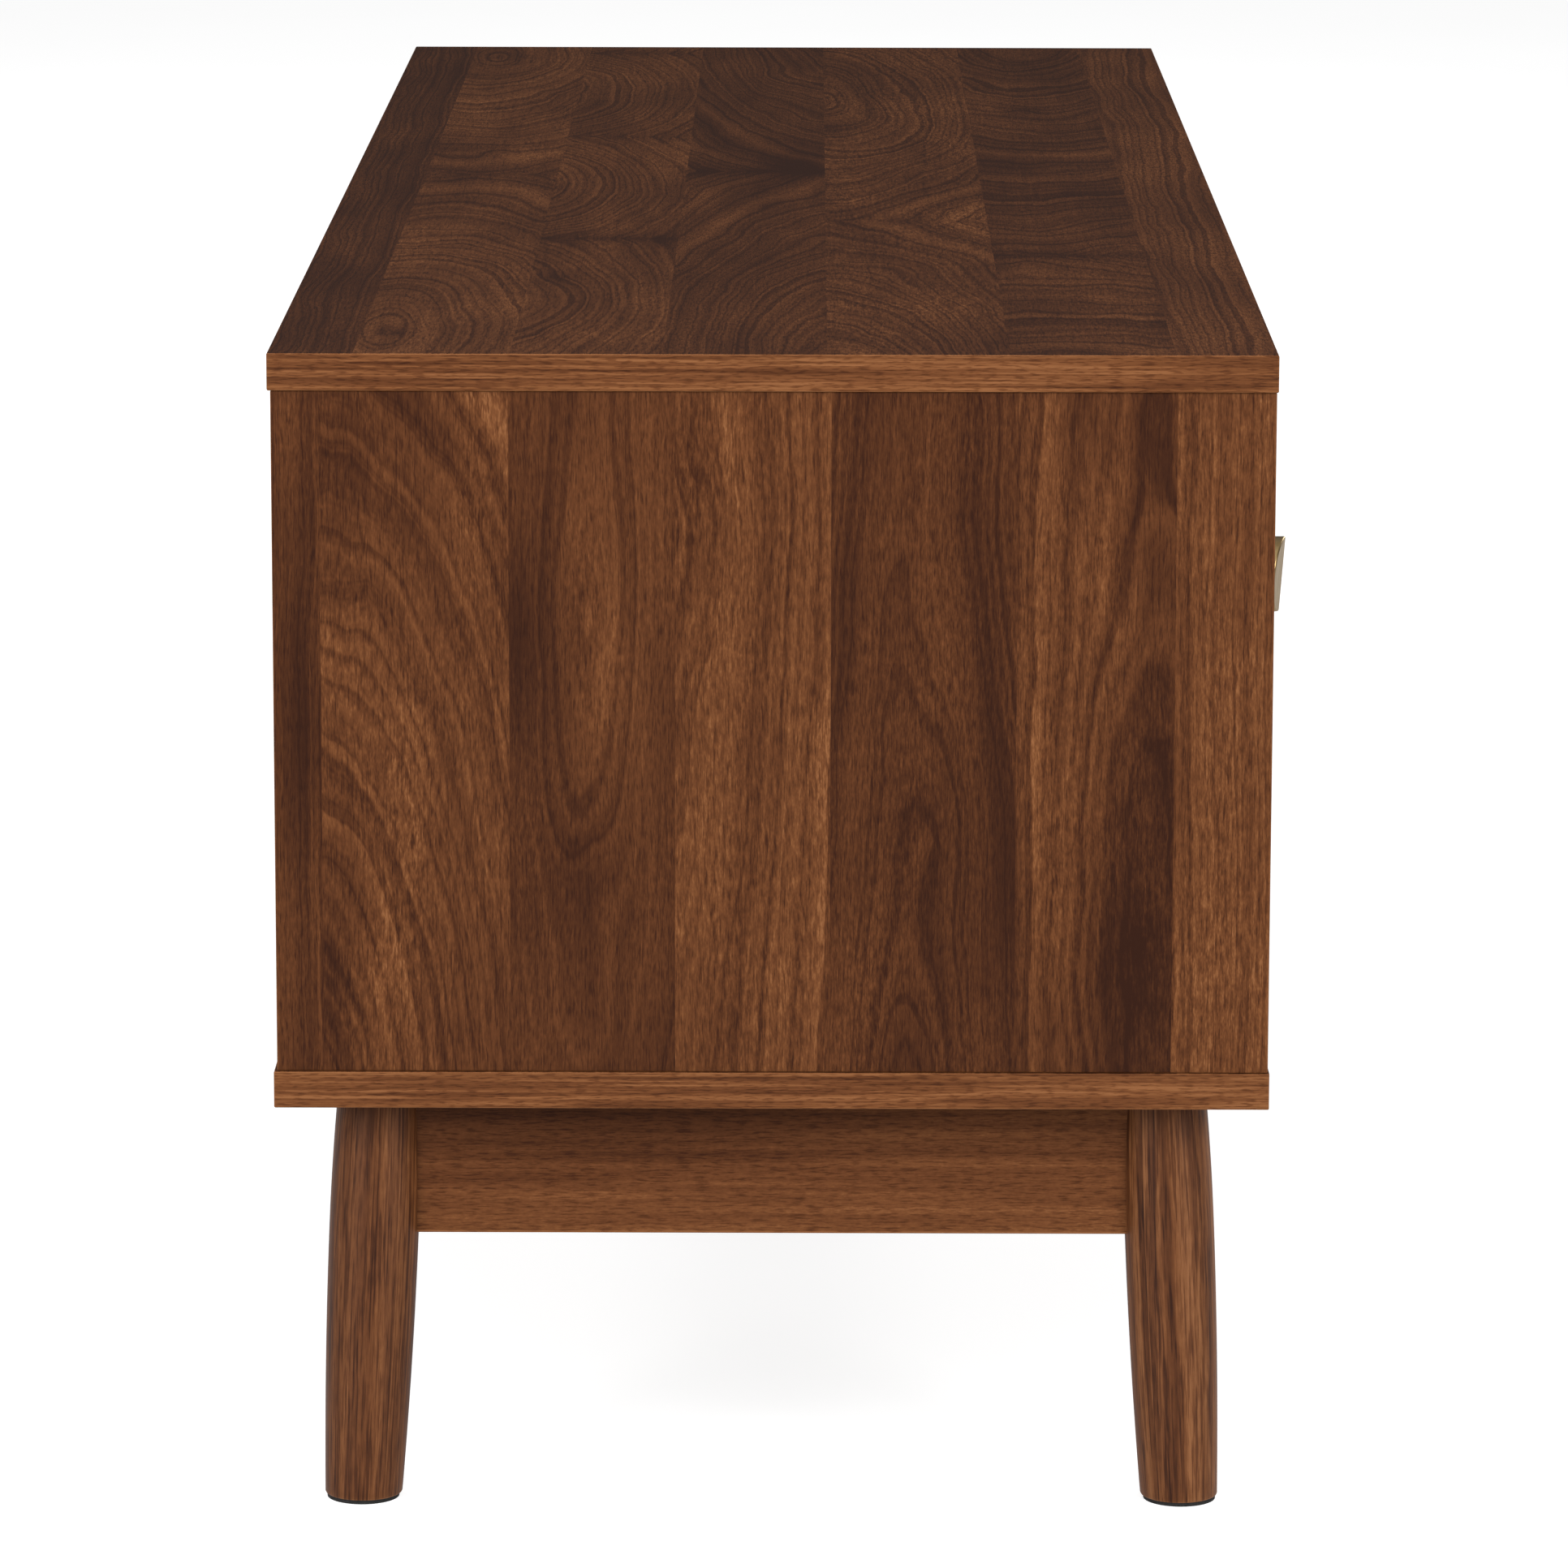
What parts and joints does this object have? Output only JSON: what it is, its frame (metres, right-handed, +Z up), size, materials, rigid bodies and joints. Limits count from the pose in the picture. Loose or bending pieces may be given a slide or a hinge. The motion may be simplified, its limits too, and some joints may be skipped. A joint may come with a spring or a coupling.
{
  "type": "sideboard",
  "caption": "Low walnut-look sideboard on splayed round legs, with hinged end doors, stacked drawers between them and half-moon brass pulls.",
  "frame": {"origin": "on the floor, under the middle of the object's whole outline, pulls included", "axes": "+X along the length towards the right-hand door, -Y out of the fronts, +Z up"},
  "size_m": [1.2, 0.4274, 0.478],
  "materials": {
    "walnut_board": "satin foil with walnut figure",
    "walnut_wrap": "satin foil with straight walnut grain",
    "drawer_board": "satin foil",
    "thin_board": "matt printed hardboard",
    "satin_brass": "satin",
    "bright_steel": "bright zinc plated",
    "zinc_steel": "zinc plated",
    "cast_zinc": "as cast",
    "catch_plastic": "moulded",
    "beech": "raw",
    "foot_felt": "matt"
  },
  "bodies": {
    "cabinet": {"top_panel": "walnut_board", "bottom_panel": "walnut_board", "left_side_panel": "walnut_board", "right_side_panel": "walnut_board", "left_partition": "walnut_board", "right_partition": "walnut_board", "back_panel": "thin_board", "left_shelf": "walnut_board", "right_shelf": "walnut_board", "shelf_pins": "zinc_steel", "case_dowels": "beech", "cam_bolts": "zinc_steel", "cam_locks": "cast_zinc", "front_left_leg": "walnut_wrap", "front_right_leg": "walnut_wrap", "rear_left_leg": "walnut_wrap", "rear_right_leg": "walnut_wrap", "foot_pads": "foot_felt", "hanger_bolts": "zinc_steel", "insert_nuts": "zinc_steel", "left_end_apron": "walnut_wrap", "right_end_apron": "walnut_wrap", "front_apron": "walnut_wrap", "rear_apron": "walnut_wrap", "apron_brackets": "bright_steel", "cabinet_screws": "zinc_steel", "hinge_plates": "bright_steel", "hinge_arms": "bright_steel", "hinge_pins": "bright_steel", "magnetic_catches": "catch_plastic", "case_slide_rails": "bright_steel"},
    "left_door": {"left_door": "walnut_board", "left_door_pull": "satin_brass", "left_hinge_cups": "bright_steel", "left_strike_plate": "bright_steel", "left_door_screws": "zinc_steel"},
    "right_door": {"right_door": "walnut_board", "right_door_pull": "satin_brass", "right_hinge_cups": "bright_steel", "right_strike_plate": "bright_steel", "right_door_screws": "zinc_steel"},
    "upper_drawer": {"upper_drawer_front": "walnut_board", "upper_drawer_left_side": "drawer_board", "upper_drawer_right_side": "drawer_board", "upper_drawer_back": "drawer_board", "upper_drawer_bottom": "thin_board", "upper_drawer_pull": "satin_brass", "upper_drawer_rails": "bright_steel", "upper_drawer_fasteners": "zinc_steel"},
    "lower_drawer": {"lower_drawer_front": "walnut_board", "lower_drawer_left_side": "drawer_board", "lower_drawer_right_side": "drawer_board", "lower_drawer_back": "drawer_board", "lower_drawer_bottom": "thin_board", "lower_drawer_pull": "satin_brass", "lower_drawer_rails": "bright_steel", "lower_drawer_fasteners": "zinc_steel"},
    "upper_ball_cages": {"upper_ball_cages": "bright_steel"},
    "lower_ball_cages": {"lower_ball_cages": "bright_steel"}
  },
  "joints": [
    {"name": "left_door_hinge", "type": "hinge", "parent": "cabinet", "child": "left_door", "pos_m": [-0.57, -0.1795, 0.325], "axis": [0, 0, -1], "range_deg": [0, 95]},
    {"name": "right_door_hinge", "type": "hinge", "parent": "cabinet", "child": "right_door", "pos_m": [0.57, -0.1795, 0.325], "axis": [0, 0, 1], "range_deg": [0, 95]},
    {"name": "upper_drawer_slide", "type": "slide", "parent": "cabinet", "child": "upper_drawer", "axis": [0, -1, 0], "range_m": [0, 0.25]},
    {"name": "lower_drawer_slide", "type": "slide", "parent": "cabinet", "child": "lower_drawer", "axis": [0, -1, 0], "range_m": [0, 0.25]},
    {"name": "upper_cage_roll", "type": "slide", "parent": "cabinet", "child": "upper_ball_cages", "axis": [0, -1, 0], "range_m": [0, 0.125]},
    {"name": "lower_cage_roll", "type": "slide", "parent": "cabinet", "child": "lower_ball_cages", "axis": [0, -1, 0], "range_m": [0, 0.125]}
  ],
  "couplings": [
    {"joint": "upper_cage_roll", "follows": "upper_drawer_slide", "ratio": 0.5},
    {"joint": "lower_cage_roll", "follows": "lower_drawer_slide", "ratio": 0.5}
  ]
}
